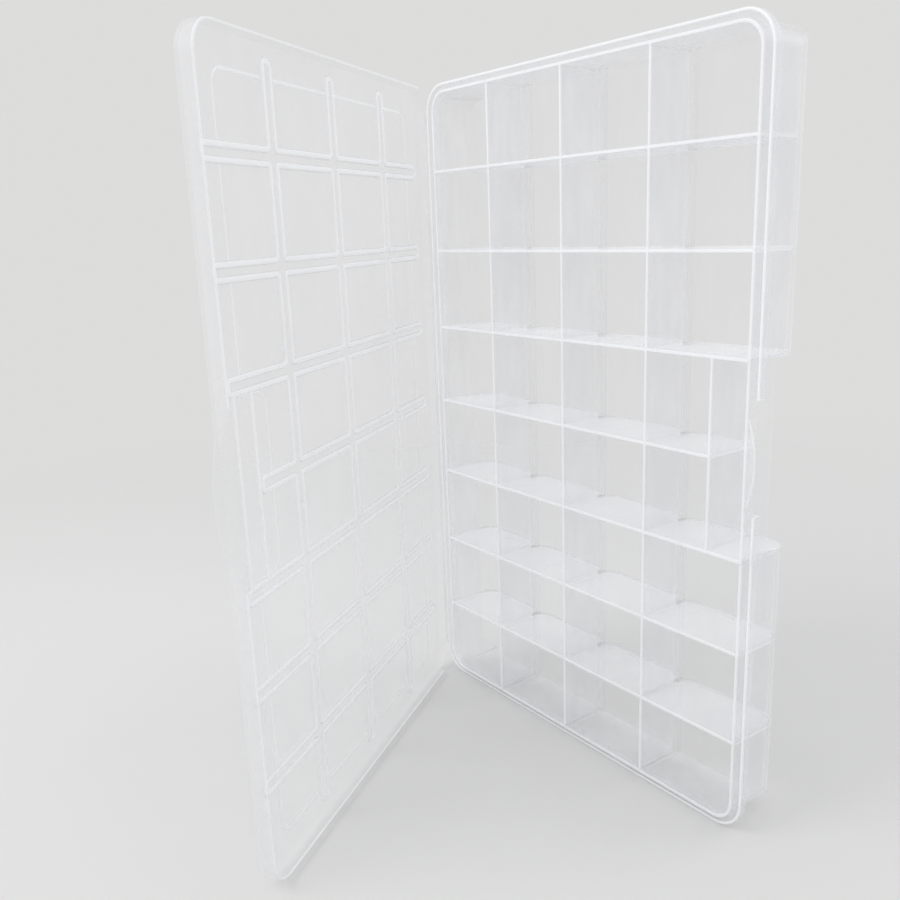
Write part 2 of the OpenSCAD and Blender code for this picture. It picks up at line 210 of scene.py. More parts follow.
thicken = tray_cells.modifiers.new("skin", "SOLIDIFY")
thicken.solidify_mode = "NON_MANIFOLD"
thicken.nonmanifold_thickness_mode = "CONSTRAINTS"
thicken.nonmanifold_merge_threshold = LIP_MERGE * MM
thicken.thickness = WALL * MM
thicken.offset = 0.0
rounding = tray_cells.modifiers.new("rounding", "BEVEL")
rounding.width = LIP_ROUND * MM
rounding.segments = LIP_SEGMENTS
rounding.limit_method = "WEIGHT"
rounding.offset_type = "ABSOLUTE"
rounding.use_clamp_overlap = False
rounding.harden_normals = True
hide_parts("wall_hinge", "wall_top", "wall_bottom", "wall_latch_upper", "wall_latch_lower",
            "corner_walls", "handle_grip", "notch_wall", "partition_1", "partition_2", "partition_3",
            *["row_divider_%d" % i for i in range(1, 8)], *["floor_column_%d" % i for i in range(1, 5)])


class Wire:
    """A value inside a material's node tree, so that shading reads as plain arithmetic."""

    def __init__(self, tree, output):
        self.tree, self.output = tree, output

    def node(self, kind, inputs, output=0, **settings):
        made = self.tree.nodes.new(kind)
        for key, value in settings.items():
            setattr(made, key, value)
        for slot, value in inputs:
            if isinstance(value, Wire):
                self.tree.links.new(value.output, made.inputs[slot])
            else:
                made.inputs[slot].default_value = value
        return Wire(self.tree, made.outputs[output])

    def math(self, operation, a, b=0.0, clamp=False):
        return self.node("ShaderNodeMath", ((0, a), (1, b)), operation=operation, use_clamp=clamp)

    def __add__(self, other): return self.math("ADD", self, other)
    def __radd__(self, other): return self.math("ADD", other, self)
    def __sub__(self, other): return self.math("SUBTRACT", self, other)
    def __rsub__(self, other): return self.math("SUBTRACT", other, self)
    def __mul__(self, other): return self.math("MULTIPLY", self, other)
    def __rmul__(self, other): return self.math("MULTIPLY", other, self)
    def __truediv__(self, other): return self.math("DIVIDE", self, other)
    def __pow__(self, other): return self.math("POWER", self, other)

    def clamp(self): return self.math("ADD", self, 0.0, clamp=True)
    def larger(self, other): return self.math("MAXIMUM", self, other)

    def along(self, direction, origin):
        """Distance of this point from origin along a direction."""
        moved = self.node("ShaderNodeVectorMath", ((0, self), (1, tuple(origin))), operation="SUBTRACT")
        return self.node("ShaderNodeVectorMath", ((0, moved), (1, tuple(direction))),
                         output="Value", operation="DOT_PRODUCT")

    def stretched(self, scale):
        return self.node("ShaderNodeVectorMath", ((0, self), (1, tuple(scale))), operation="MULTIPLY")

    def ramp(self, start, end):
        """0 at start and 1 at end, with a soft change between them."""
        return self.node("ShaderNodeMapRange", ((0, self), (1, start), (2, end), (3, 0.0), (4, 1.0)),
                         interpolation_type="SMOOTHSTEP", clamp=True)

    def noise(self, scale, detail):
        return self.node("ShaderNodeTexNoise", (("Vector", self), ("Scale", scale), ("Detail", detail)),
                         output="Fac")

    def blend(self, first, second):
        """A colour between two, by this value."""
        return self.node("ShaderNodeMix", ((0, self), (6, first), (7, second)), output=2, data_type="RGBA")


PLASTIC_IOR = 1.49
PAINTED_GLOW = 0.09
CLOUD_SCALE = 18.0
FLOW_SCALE = 150.0
LIP_WHOLE = 0.4  # the part of a lip's depth that has its full opacity
SEAM_EDGE = (0.00095, 0.0006)  # metres, as are all lengths of a lip, seam or bump
TURNED_AWAY = (0.35, 0.75)
ROUGH_SPREAD = 0.14
BUMP_STRENGTH = 0.08
BUMP_DEPTH = 0.0004


def polypropylene(name, clear, grazing, lip, seams=(), rough=0.24, grain=(1, 1, 1),
                  tint=(0.87, 0.877, 0.895, 1.0), shade=(0.775, 0.785, 0.81, 1.0), painted_flank_shading=None):
    """Moulded clear polypropylene: cloudier where seen edge on and at its lips, with faint flow marks.
    clear is the opacity of one face seen straight on and grazing that of one seen edge on. lip is an
    origin, a direction, a depth and an opacity: the whiter strip lies within that depth of the origin
    along the direction, partly the milky wall seen through its depth and partly a painted highlight for
    the light that the wall carries to its edge. A seam is a line, repeated along an axis from a first
    place at a pitch, where another wall stands behind the face and shows its whiter cut.
    painted_flank_shading is a colour painted on the sides that turn away from the eye, where it differs:
    painted shade where it is darker, painted light where it is paler. The faint painted glow, an emission
    in the tint, lifts every face and shows most where the lamps leave shade; it stands for what such
    plastic passes on from side to side."""
    material = bpy.data.materials.new(name)
    material.use_nodes = True
    tree = material.node_tree
    skin_shader = tree.nodes["Principled BSDF"]
    skin_shader.inputs["IOR"].default_value = PLASTIC_IOR
    # A faint painted glow: every face gives off its tint as light, lifting the plastic most where the lamps leave
    # it in shade.
    skin_shader.inputs["Emission Color"].default_value = tint
    skin_shader.inputs["Emission Strength"].default_value = PAINTED_GLOW
    point = Wire(tree, tree.nodes.new("ShaderNodeTexCoord").outputs["Object"])
    facing = point.node("ShaderNodeLayerWeight", (("Blend", 0.5),), output="Facing")
    cloud = point.noise(CLOUD_SCALE, 1.0)
    flow = point.stretched(grain).noise(FLOW_SCALE, 1.0)
    lip_origin, lip_direction, lip_depth, lip_alpha = lip
    # The lip's whiter strip: partly the milky wall seen through its depth, partly a painted highlight.
    white = (1.0 - point.along(lip_direction, lip_origin).ramp(lip_depth * LIP_WHOLE, lip_depth)) * lip_alpha
    for axis, first, pitch, seam_alpha in seams:
        offset = point.along(axis, first) / pitch
        gap = point.math("ABSOLUTE", offset - point.math("ROUND", offset)) * pitch
        white = white.larger(gap.ramp(*SEAM_EDGE) * seam_alpha)
    # Both noises average a half, so the haze averages the face's own opacity.
    haze = clear * (0.74 + cloud * 0.3 + flow * 0.22)
    alpha = (haze + facing ** 3.0 * (grazing - clear)).larger(white).clamp()
    # The shade shows in the thicker flow marks, and less so in a lip or seam.
    colour = (flow * 0.6 + cloud * 0.4 - white * 0.4).ramp(0.64, 0.30).blend(shade, tint)
    # Painted shading on the sides that turn away from the eye: painted shade where this colour is darker, painted
    # light where it is paler.
    if painted_flank_shading:
        colour = (facing.ramp(*TURNED_AWAY) * (1.0 - white.ramp(0.0, 0.3))).blend(colour, painted_flank_shading)
    roughness = rough - ROUGH_SPREAD / 2 + cloud * ROUGH_SPREAD
    bump = point.node("ShaderNodeBump", (("Strength", BUMP_STRENGTH), ("Distance", BUMP_DEPTH), ("Height", flow)))
    for slot, value in (("Alpha", alpha), ("Base Color", colour), ("Roughness", roughness), ("Normal", bump)):
        tree.links.new(value.output, skin_shader.inputs[slot])
    return material


# The whiter lip strips below are partly the milky wall seen end on and partly a painted highlight.
LIP = ((0, -0.0035, 0), (0, 1, 0), 0.0009)
SHELF_SEAMS = ((0, 0, 1), (0, 0, 0.17075), 0.042, 0.58)
PARTITION_SEAMS = ((1, 0, 0), (-0.0559, 0, 0), 0.054, 0.42)
# A paler tint of the plastic, used for painted light: the floors' flanks, the tab's edge, and the ribs' and
# bead's crests.
PALE = (0.88, 0.887, 0.903, 1.0)
for material in (
        polypropylene("shelf_plastic", clear=0.26, grazing=0.56, lip=(*LIP, 0.62),
                      seams=(PARTITION_SEAMS,), grain=(2.5, 0.5, 1)),
        polypropylene("partition_plastic", clear=0.18, grazing=0.42, lip=(*LIP, 0.60),
                      seams=(SHELF_SEAMS,), grain=(1, 2.2, 0.3),
                      tint=(0.87, 0.876, 0.897, 1.0), shade=(0.73, 0.738, 0.762, 1.0)),
        # The floors' greyer tint is partly light lost through the panels and partly painted shade at the backs of
        # the cells; their flanks are painted paler, painted light that lifts the troughs' shade.
        polypropylene("floor_plastic", clear=0.075, grazing=0.44, lip=(*LIP, 0.55),
                      seams=(SHELF_SEAMS,), grain=(2.5, 2.5, 0.25),
                      tint=(0.78, 0.785, 0.795, 1.0), shade=(0.69, 0.695, 0.705, 1.0), painted_flank_shading=PALE),
        polypropylene("grip_plastic", clear=0.13, grazing=0.40, lip=(*LIP, 0.58), grain=(1, 2.2, 0.3))):
    tray_cells.data.materials.append(material)

# Rim: a channel runs round the lip outside the cell walls, with an outer rim as high as the lid's skirt
# needs. It is moulded on to the walls and stops with two plain cut ends beside the grip.
CHANNEL_Y = 4.4
RIM_EDGE_Y = 1.4
RIM_BOTTOM_Y = 5.6
RIM_T = 1.4
RIM_X = (-7.55, 213.95)
RIM_Z = 170.75
RIM_R = 14.65
RIM_GAP = (26.5, -21.8)
RIM_ROUND = 0.45
BODY_X = (-0.75, 210.05)
BODY_Z = 166.85
BODY_R = 10.75
BEND = 0.3  # how far in the middle of a rounded edge lies, in parts of its radius
CUT_END = 1  # material slot
# The rim's lip strip is the same: partly milky depth, partly a painted highlight.
RIM_LIP = ((0, -0.0021, 0), (0, 1, 0), 0.0009)
NO_LIP = ((0, 0, -1), (0, 0, 1), 0.001, 0.0)  # off the part, for pieces with no whiter lip


def corner_arc(cx, cz, radius, start, steps):
    """Points with their outward directions round one corner, a quarter turn clockwise from an angle."""
    out = []
    for k in range(steps + 1):
        angle = math.radians(start - 90 * k / steps)
        away = (math.cos(angle), math.sin(angle))
        out.append(((cx + radius * away[0], cz + radius * away[1]), away))
    return out


def rounded_outline(x_range, half_z, radius, steps):
    """The four corners of a rounded rectangle in turn: upper left, upper right, lower right, lower left."""
    left, right, z = x_range[0] + radius, x_range[1] - radius, half_z - radius
    return [corner_arc(left, z, radius, 180, steps), corner_arc(right, z, radius, 90, steps),
            corner_arc(right, -z, radius, 0, steps), corner_arc(left, -z, radius, -90, steps)]


def inset_point(edge, inset, y):
    """The place at y that lies inset from an edge, a point with its outward direction."""
    (x, z), away = edge
    return x - away[0] * inset, y, z - away[1] * inset


def bridge_rings(builder, rings, closed_path, slots=None):
    """Quads between the points of neighbouring sections. slots holds a material for each strip along them."""
    count = len(rings[0]) - 1
    slots = slots or [0] * count
    rows = [[builder.verts.new(to_part(p)) for p in ring] for ring in rings]
    pairs = list(zip(rows, rows[1:])) + ([(rows[-1], rows[0])] if closed_path else [])
    for a, b in pairs:
        for k in range(count):
            builder.faces.new((a[k], a[k + 1], b[k + 1], b[k])).material_index = slots[k]
    return rows


def rim_section(outer, inner):
    """The channel's floor and the rim around it, from the cell wall's outer face round to it again."""
    r, bend = RIM_ROUND, BEND * RIM_ROUND
    across = ((RIM_T + r, CHANNEL_Y), (RIM_T + bend, CHANNEL_Y - bend), (RIM_T, CHANNEL_Y - r),
              (RIM_T, RIM_EDGE_Y + r), (RIM_T - bend, RIM_EDGE_Y + bend), (RIM_T - r, RIM_EDGE_Y),
              (r, RIM_EDGE_Y), (bend, RIM_EDGE_Y + bend), (0, RIM_EDGE_Y + r),
              (0, RIM_BOTTOM_Y - r), (bend, RIM_BOTTOM_Y - bend), (r, RIM_BOTTOM_Y))
    return ([(inner[0], CHANNEL_Y, inner[1])] + [inset_point(outer, *spot) for spot in across]
            + [(inner[0], RIM_BOTTOM_Y, inner[1])])


def rim_cut(z):
    """The rim's section at one end of its gap."""
    return rim_section(((RIM_X[1], z), (1, 0)), (BODY_X[1], z))


outer_corners = rounded_outline(RIM_X, RIM_Z, RIM_R, steps=12)
inner_corners = rounded_outline(BODY_X, BODY_Z, BODY_R, steps=12)
sections = [rim_cut(RIM_GAP[1])]
for index in (2, 3, 0, 1):  # clockwise from the gap's lower end to its upper end
    sections += [rim_section(outer, inner)
                 for outer, (inner, _) in zip(outer_corners[index], inner_corners[index])]
sections.append(rim_cut(RIM_GAP[0]))
rim_builder = bmesh.new()
rim_rows = bridge_rings(rim_builder, sections, False)
for row in (rim_rows[0], rim_rows[-1]):
    rim_builder.faces.new(row).material_index = CUT_END
bmesh.ops.recalc_face_normals(rim_builder, faces=rim_builder.faces)
tray_rim = make_object("tray_rim", rim_builder, "tray")
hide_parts("rim_hinge", "rim_top", "rim_bottom", "rim_latch_upper", "rim_latch_lower", "rim_corners")
tray_rim.data.materials.append(polypropylene("rim_plastic", clear=0.15, grazing=0.52, lip=(*RIM_LIP, 0.68),
                                             grain=(0.4, 2, 0.4)))
# The rim's cut ends are whiter: partly their depth seen end on, partly a painted highlight.
tray_rim.data.materials.append(polypropylene("rim_end_plastic", clear=0.55, grazing=0.70, lip=NO_LIP))

# Thumb tab of the tray: a thin slice of a disc that stands out from the grip bar's front edge.
# It is moulded with the bar, and its edge is rounded by the mould.
TRAY_TAB = {"length": 38.6, "reach": 3.9}
TAB_T = 1.2
TAB_ROUND = 0.35
TAB_FACE, TAB_EDGE = 0, 1  # material slots


def tab_arc(x0, reach, length, steps):
    """The curved edge of a tab that stands out from x0, as points with their outward directions."""
    radius = (length ** 2 / 4 + reach ** 2) / (2 * reach)
    spread = math.asin(length / 2 / radius)
    return [((x0 + reach - radius + radius * math.cos(a), radius * math.sin(a)), (math.cos(a), math.sin(a)))
            for a in (spread * (1 - 2 * k / steps) for k in range(steps + 1))]


def tray_tab_section(edge):
    """From the grip bar's face round the tab's edge and back. It narrows to nothing at the tab's ends."""
    (x, z), (away_x, away_z) = edge
    root = BODY_X[1]
    fade = max(0.0, min(1.0, (x - root) / TAB_ROUND))

    def at(inset, y):
        return max(root, x - away_x * inset), y, z - away_z * inset * fade
    r, bend = TAB_ROUND, BEND * TAB_ROUND
    return [(root, 0, z), at(r, 0), at(bend, bend), (x, r, z),
            (x, TAB_T - r, z), at(bend, TAB_T - bend), at(r, TAB_T), (root, TAB_T, z)]


tab_builder = bmesh.new()
tab_sections = [tray_tab_section(edge) for edge in tab_arc(BODY_X[1], **TRAY_TAB, steps=24)]
bridge_rings(tab_builder, tab_sections, False, [TAB_FACE] + [TAB_EDGE] * 5 + [TAB_FACE])
bmesh.ops.remove_doubles(tab_builder, verts=tab_builder.verts, dist=JOIN * MM)
bmesh.ops.recalc_face_normals(tab_builder, faces=tab_builder.faces)
tray_tab = make_object("tray_tab", tab_builder, "tray")
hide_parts("tray_thumb_tab")
tray_tab.data.materials.append(polypropylene("tab_plastic", clear=0.10, grazing=0.40, lip=NO_LIP))
# The tab's rounded edge is milkier and paler: partly its depth seen end on, partly a painted highlight.
tray_tab.data.materials.append(polypropylene("tab_edge_plastic", clear=0.60, grazing=0.85, lip=NO_LIP,
                                             tint=PALE, shade=PALE))

# Lid shell: a thin panel with a round outer edge, a skirt that drops into the tray's channel, and a
# thumb tab. Beside the tab the skirt is scooped away. One skin of the same moulding.
LID_OPEN = math.radians(55.3)
FOLD = (-8.25, 1.2)
LID_X = (-7.55, 211.85)
LID_Z = 168.65
LID_R = 12.55
PANEL_OUT_Y = -3.8
PANEL_IN_Y = -2.4
PANEL_EDGE_R = 1.15
PANEL_EDGE_STEPS = 5
SKIRT_T = 1.1
SKIRT_Y = 4.0
SKIRT_TOP = 0.02  # the skirt starts this far under the panel, so that the tab has an edge of its own
LEAST_SKIRT = 0.06
LOW_SKIRT_Y = 1.0
LOW_SKIRT_X = 7.1
SKIRT_ROUND = 0.3
SKIRT_FILLET = 0.5
SCOOP_R = 49.0
SCOOP_FLAT = 12.0
SCOOP_STATIONS = (38, 36, 34.5, 33, 31.5, 30, 29, 28, 27, 26, 25.02)
HAIR = 0.01  # places no further apart count as one
LID_TAB = {"length": 50.0, "reach": 4.7}
PANEL, SKIRT = 0, 1  # material slots


def lid_piece(name, builder):
    """Swings a mesh that was drawn shut, in the part's frame, to the lid's open place."""
    fold = to_part((FOLD[0], FOLD[1], 0))
    fold.z = 0
    swing = Matrix.Translation(fold) @ Matrix.Rotation(-LID_OPEN, 4, "Z") @ Matrix.Translation(-fold)
    bmesh.ops.transform(builder, matrix=swing, verts=builder.verts)
    bmesh.ops.recalc_face_normals(builder, faces=builder.faces)
    return make_object(name, builder, "lid")


def skirt_end(x, z):
    """How far the skirt reaches at one place of the lid's edge."""
    if x < LOW_SKIRT_X:
        return LOW_SKIRT_Y
    beyond = max(0.0, abs(z) - SCOOP_FLAT)
    if x < LID_X[1] - HAIR or abs(z) >= LID_Z - LID_R or beyond >= SCOOP_R:
        return SKIRT_Y
    scooped = SCOOP_R - math.sqrt(SCOOP_R ** 2 - beyond ** 2)
    return min(SKIRT_Y, PANEL_IN_Y + max(LEAST_SKIRT, scooped))


def lid_section(panel, skirt):
    """The lid's edge from the panel's outside round the skirt to its inside. Both arguments are points
    with their outward directions, and differ only along the thumb tab."""
    end = skirt_end(*skirt[0])
    reach = end - PANEL_IN_Y
    r, f = min(SKIRT_ROUND, reach * 0.4), min(SKIRT_FILLET, reach * 0.5)
    angles = [math.pi / 2 * (1 - k / PANEL_EDGE_STEPS) for k in range(PANEL_EDGE_STEPS + 1)]
    panel_edge = [(PANEL_EDGE_R * (1 - math.cos(a)), PANEL_OUT_Y + PANEL_EDGE_R * (1 - math.sin(a)))
                  for a in angles]
    skirt_edge = ((0, PANEL_IN_Y + SKIRT_TOP), (0, end - r), (BEND * r, end - BEND * r), (r, end),
                  (SKIRT_T - r, end), (SKIRT_T - BEND * r, end - BEND * r), (SKIRT_T, end - r),
                  (SKIRT_T, PANEL_IN_Y + f), (SKIRT_T + BEND * f, PANEL_IN_Y + BEND * f),
                  (SKIRT_T + f, PANEL_IN_Y))
    return ([inset_point(panel, *spot) for spot in panel_edge + [(0, PANEL_IN_Y)]]
            + [inset_point(skirt, *spot) for spot in skirt_edge])


rings = []
for index, corner in enumerate(rounded_outline(LID_X, LID_Z, LID_R, steps=14)):
    rings += [lid_section(edge, edge) for edge in corner]
    if index == 1:  # down the free side, past the thumb tab
        upper_scoop = [((LID_X[1], z), (1, 0)) for z in SCOOP_STATIONS]
        lower_scoop = [((LID_X[1], -z), (1, 0)) for z in reversed(SCOOP_STATIONS)]
        rings += [lid_section(edge, edge) for edge in upper_scoop]
        rings += [lid_section(edge, ((LID_X[1], edge[0][1]), (1, 0)))
                  for edge in tab_arc(LID_X[1], **LID_TAB, steps=32)]
        rings += [lid_section(edge, edge) for edge in lower_scoop]
    if index in (0, 2):  # along a short end, past the step in the skirt
        up = 1 if index == 0 else -1
        for x in (LOW_SKIRT_X - up * HAIR, LOW_SKIRT_X + up * HAIR):
            edge = ((x, up * LID_Z), (0, up))
            rings.append(lid_section(edge, edge))
lid_builder = bmesh.new()
skirt_strips = len(rings[0]) - 5
shell_rows = bridge_rings(lid_builder, rings, True, [PANEL] * 2 + [SKIRT] * skirt_strips + [PANEL] * 2)
lid_builder.faces.new([row[0] for row in shell_rows])
lid_builder.faces.new([row[-1] for row in shell_rows])
lid_shell = lid_piece("lid_shell", lid_builder)
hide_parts("lid_panel", "lid_thumb_tab", "lid_skirt_hinge", "lid_skirt_top", "lid_skirt_bottom",
            "lid_skirt_latch_upper", "lid_skirt_latch_lower", "lid_skirt_corners")
LID_OUTWARD = (-math.sin(LID_OPEN), -math.cos(LID_OPEN), 0)


def lid_height(y):
    """The place, in the part's frame, from which heights above the lid's drawn height y are counted."""
    swung = Matrix.Rotation(-LID_OPEN, 2) @ Vector((0, y - FOLD[1])) + Vector(FOLD)
    return tuple(to_part((swung.x, swung.y, 0)))


# The skirt's free edge gets the same whiter strip: partly milky depth, partly a painted highlight.
SKIRT_LIP = (lid_height(SKIRT_Y), LID_OUTWARD, 0.0008)
lid_shell.data.materials.append(polypropylene(
    "lid_plastic", clear=0.09, grazing=0.36, lip=(*SKIRT_LIP, 0.6), grain=(0.7, 0.7, 0.25),
    tint=(0.90, 0.907, 0.925, 1.0), shade=(0.82, 0.828, 0.848, 1.0)))
lid_shell.data.materials.append(polypropylene(
    "skirt_plastic", clear=0.10, grazing=0.20, lip=(*SKIRT_LIP, 0.72), rough=0.14, grain=(0.5, 0.5, 1.5)))

# Lid ribs: low double ridges face every partition and row divider, with an open slot between them that
# runs through at the crossings. They are part of the panel, with round crests and a small foot fillet.
RIB_COLUMNS = COLUMNS[1:4]
RIDGE_OFFSET = 2.75
RIB_TOP = 161.35
RIB_LEFT = 4.75
RIB_RIGHT = (204.55, 204.55, 202.55, 184.85, 202.55, 204.55, 204.55)
CROSSING_R = 1.5
CREST_Y = -1.11
RIDGE_SECTION = ((-1.55, -2.4), (-1.32, -2.28), (-1.2, -2.0), (-1.12, -1.6), (-0.95, -1.28), (-0.55, CREST_Y),
                 (0.55, CREST_Y), (0.95, -1.28), (1.12, -1.6), (1.2, -2.0), (1.32, -2.28), (1.55, -2.4))
CROSS_RIDGES = (187.3, 199.8)
CROSS_RIDGE_Z = 38.3
MITRE = 0.5  # a section widens at bends, at most to one part in this
RIB_HIGHLIGHT_Y = -1.1


def filleted(corners, steps=6):
    """A closed path through right-angled corners (x, z, radius), with each corner rounded."""
    out = []
    for k, (x, z, radius) in enumerate(corners):
        here = Vector((x, z))
        if radius == 0:
            out.append(here)
            continue
        before = (Vector(corners[k - 1][:2]) - here).normalized()
        after = (Vector(corners[(k + 1) % len(corners)][:2]) - here).normalized()
        centre = here + (before + after) * radius
        for step in range(steps + 1):
            angle = math.pi / 2 * step / steps
            out.append(centre - after * radius * math.cos(angle) - before * radius * math.sin(angle))
    clean = [out[0]]
    for point in out[1:]:
        if (point - clean[-1]).length > HAIR:
            clean.append(point)
    if (clean[0] - clean[-1]).length <= HAIR:
        clean.pop()
    return clean


def sweep(builder, path, section, closed_path):
    """Carries a section of (sideways, y) points along a path of (x, z) points."""
    rings = []
    count = len(path)
    for k, point in enumerate(path):
        directions = []
        if k or closed_path:
            directions.append((point - path[k - 1]).normalized())
        if k < count - 1 or closed_path:
            directions.append((path[(k + 1) % count] - point).normalized())
        along = sum(directions, Vector((0, 0))).normalized()
        side = Vector((-along.y, along.x)) / max(MITRE, along.dot(directions[0]))
        rings.append([(point.x + side.x * s, y, point.y + side.y * s) for s, y in section])
    rows = bridge_rings(builder, rings, closed_path)
    if not closed_path:
        builder.faces.new(rows[0])
        builder.faces.new(rows[-1])


def rib_end(root, tip, far_tip, far_root):
    """A double rib's end as four corners: out from one crossing corner, round the end and back."""
    return [(*root, CROSSING_R), (*tip, RIDGE_OFFSET), (*far_tip, RIDGE_OFFSET), (*far_root, CROSSING_R)]


rib_builder = bmesh.new()
h = RIDGE_OFFSET
fringe = []
for x in RIB_COLUMNS:
    fringe += rib_end((x - h, ROWS[0] + h), (x - h, RIB_TOP), (x + h, RIB_TOP), (x + h, ROWS[0] + h))
for z, right in zip(ROWS, RIB_RIGHT):
    x = RIB_COLUMNS[2] + h
    fringe += rib_end((x, z + h), (right, z + h), (right, z - h), (x, z - h))
for x in reversed(RIB_COLUMNS):
    fringe += rib_end((x + h, ROWS[6] - h), (x + h, -RIB_TOP), (x - h, -RIB_TOP), (x - h, ROWS[6] - h))
for z in reversed(ROWS):
    x = RIB_COLUMNS[0] - h
    fringe += rib_end((x, z - h), (RIB_LEFT, z - h), (RIB_LEFT, z + h), (x, z + h))
fringe = [p for k, p in enumerate(fringe) if p[:2] != fringe[k - 1][:2]]
sweep(rib_builder, filleted(fringe), RIDGE_SECTION, True)
for left, right in zip(RIB_COLUMNS, RIB_COLUMNS[1:]):
    for upper, lower in zip(ROWS, ROWS[1:]):
        field = [(left + h, upper - h, CROSSING_R), (right - h, upper - h, CROSSING_R),
                 (right - h, lower + h, CROSSING_R), (left + h, lower + h, CROSSING_R)]
        sweep(rib_builder, filleted(field), RIDGE_SECTION, True)
for x in CROSS_RIDGES:
    sweep(rib_builder, [Vector((x, CROSS_RIDGE_Z)), Vector((x, -CROSS_RIDGE_Z))], RIDGE_SECTION, False)
lid_ribs = lid_piece("lid_ribs", rib_builder)
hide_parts(*["lid_column_rib_%d" % i for i in range(1, 4)], *["lid_row_rib_%d" % i for i in range(1, 8)],
            "lid_notch_ridge", "lid_grip_ridge")
# The ribs carry painted light: a painted highlight along each crest and painted shade on the flanks, the bright
# and dark lines that their round clear sections make of the light.
lid_ribs.data.materials.append(polypropylene(
    "rib_plastic", clear=0.08, grazing=0.74, lip=(lid_height(RIB_HIGHLIGHT_Y), LID_OUTWARD, 0.0005, 0.72), rough=0.12,
    tint=PALE, painted_flank_shading=(0.50, 0.51, 0.53, 1.0)))

# Raised outline on the lid's inner face: a thin low bead inside the skirt that steps in around the grip.
# It stops at each double rib and stays under the ribs' height.
BEAD_X = (16.0, 193.3)
BEAD_STEP_X = 176.5
BEAD_Z = 154.8
BEAD_STEP_Z = 37.6
BEAD_R = 7.0
BEAD_CREST_Y = -1.81
BEAD_SECTION = ((-0.95, -2.4), (-0.72, -2.2), (-0.5, -1.93), (-0.2, BEAD_CREST_Y),
                (0.2, BEAD_CREST_Y), (0.5, -1.93), (0.72, -2.2), (0.95, -2.4))
BEAD_SPACING = 0.5
RIB_HALF = 4.0
RIB_END_HALF = 1.25
CROSS_RIDGE_HALF = 1.3
STRAIGHT = 0.99999


def under_rib(point):
    """Whether a double rib or a cross ridge passes over this place of the lid's panel."""
    if any(abs(point.x - x) < RIB_HALF for x in RIB_COLUMNS):
        return True
    if any(abs(point.y - z) < RIB_HALF and point.x < right + RIB_END_HALF for z, right in zip(ROWS, RIB_RIGHT)):
        return True
    return any(abs(point.x - x) < CROSS_RIDGE_HALF for x in CROSS_RIDGES) and abs(point.y) < CROSS_RIDGE_Z


bead_path = filleted([(BEAD_X[0], BEAD_Z, BEAD_R), (BEAD_X[1], BEAD_Z, BEAD_R), (BEAD_X[1], BEAD_STEP_Z, 0),
                      (BEAD_STEP_X, BEAD_STEP_Z, BEAD_R), (BEAD_STEP_X, -BEAD_STEP_Z, BEAD_R),
                      (BEAD_X[1], -BEAD_STEP_Z, 0), (BEAD_X[1], -BEAD_Z, BEAD_R), (BEAD_X[0], -BEAD_Z, BEAD_R)],
                     steps=8)
bead_builder = bmesh.new()
runs, run = [], []
for a, b in zip(bead_path, bead_path[1:] + bead_path[:1]):
    pieces = max(1, int((b - a).length / BEAD_SPACING))
    for k in range(pieces):
        point = a.lerp(b, k / pieces)
        if under_rib(point):
            if len(run) > 1:
                runs.append(run)
            run = []
        else:
            run.append(point)
if len(run) > 1:
    runs.append(run)
if (runs[0][0] - runs[-1][-1]).length < 2 * BEAD_SPACING:
    runs[0] = runs.pop() + runs[0]
for run in runs:
    bends = [p for before, p, after in zip(run, run[1:], run[2:])
             if (p - before).normalized().dot((after - p).normalized()) < STRAIGHT]
    sweep(bead_builder, [run[0]] + bends + [run[-1]], BEAD_SECTION, False)
lid_bead = lid_piece("lid_bead_line", bead_builder)
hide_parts("lid_bead")
# The bead's crest carries a painted highlight, as the ribs' crests do.
lid_bead.data.materials.append(polypropylene(
    "bead_plastic", clear=0.10, grazing=0.55, lip=(lid_height(BEAD_CREST_Y), LID_OUTWARD, 0.0003, 0.58),
    rough=0.12, tint=PALE))

# Living hinge: a thin web of the same plastic along the long side, bent between the rim's edge and the
# skirt's edge. It is drawn bent at the lid's open angle and thins at the fold, where flexing turns the plastic
# whiter.
HINGE_Z = 156.0
HINGE_ROWS = 40
HINGE_STEPS = 10
WEB_T = 0.42
FOLD_T = 0.3
FOLD_PULL = 0.35  # how far past the fold the web's curve is drawn, for a rounder bend
TRAY_EDGE = (-7.6, 1.62)
LID_EDGE_SHUT = (-7.6, 0.78)
FOLD_MARK = (tuple(to_part((FOLD[0] - 1, 0, 0))), (1, 0, 0), 0.0016, 0.5)

start_edge, fold_point = Vector(TRAY_EDGE), Vector(FOLD)
turned = Matrix.Rotation(-LID_OPEN, 2) @ (Vector(LID_EDGE_SHUT) - fold_point) + fold_point
bend_point = fold_point + (fold_point - (start_edge + turned) / 2) * FOLD_PULL
middle = []
for k in range(HINGE_STEPS + 1):
    t = k / HINGE_STEPS
    middle.append((1 - t) ** 2 * start_edge + 2 * t * (1 - t) * bend_point + t ** 2 * turned)
one_face, other_face = [], []
for k, point in enumerate(middle):
    along = (middle[min(HINGE_STEPS, k + 1)] - middle[max(0, k - 1)]).normalized()
    half = (WEB_T - (WEB_T - FOLD_T) * math.sin(math.pi * k / HINGE_STEPS)) / 2
    one_face.append(point + Vector((-along.y, along.x)) * half)
    other_face.append(point - Vector((-along.y, along.x)) * half)
ring = one_face + other_face[::-1]
hinge_builder = bmesh.new()
rows = []
for k in range(HINGE_ROWS + 1):
    z = HINGE_Z - 2 * HINGE_Z * k / HINGE_ROWS
    rows.append([hinge_builder.verts.new(to_part((p.x, p.y, z))) for p in ring])
for a, b in zip(rows, rows[1:]):
    for k in range(len(ring)):
        beside = (k + 1) % len(ring)
        hinge_builder.faces.new((a[k], a[beside], b[beside], b[k]))
hinge_builder.faces.new(rows[0])
hinge_builder.faces.new(rows[-1])
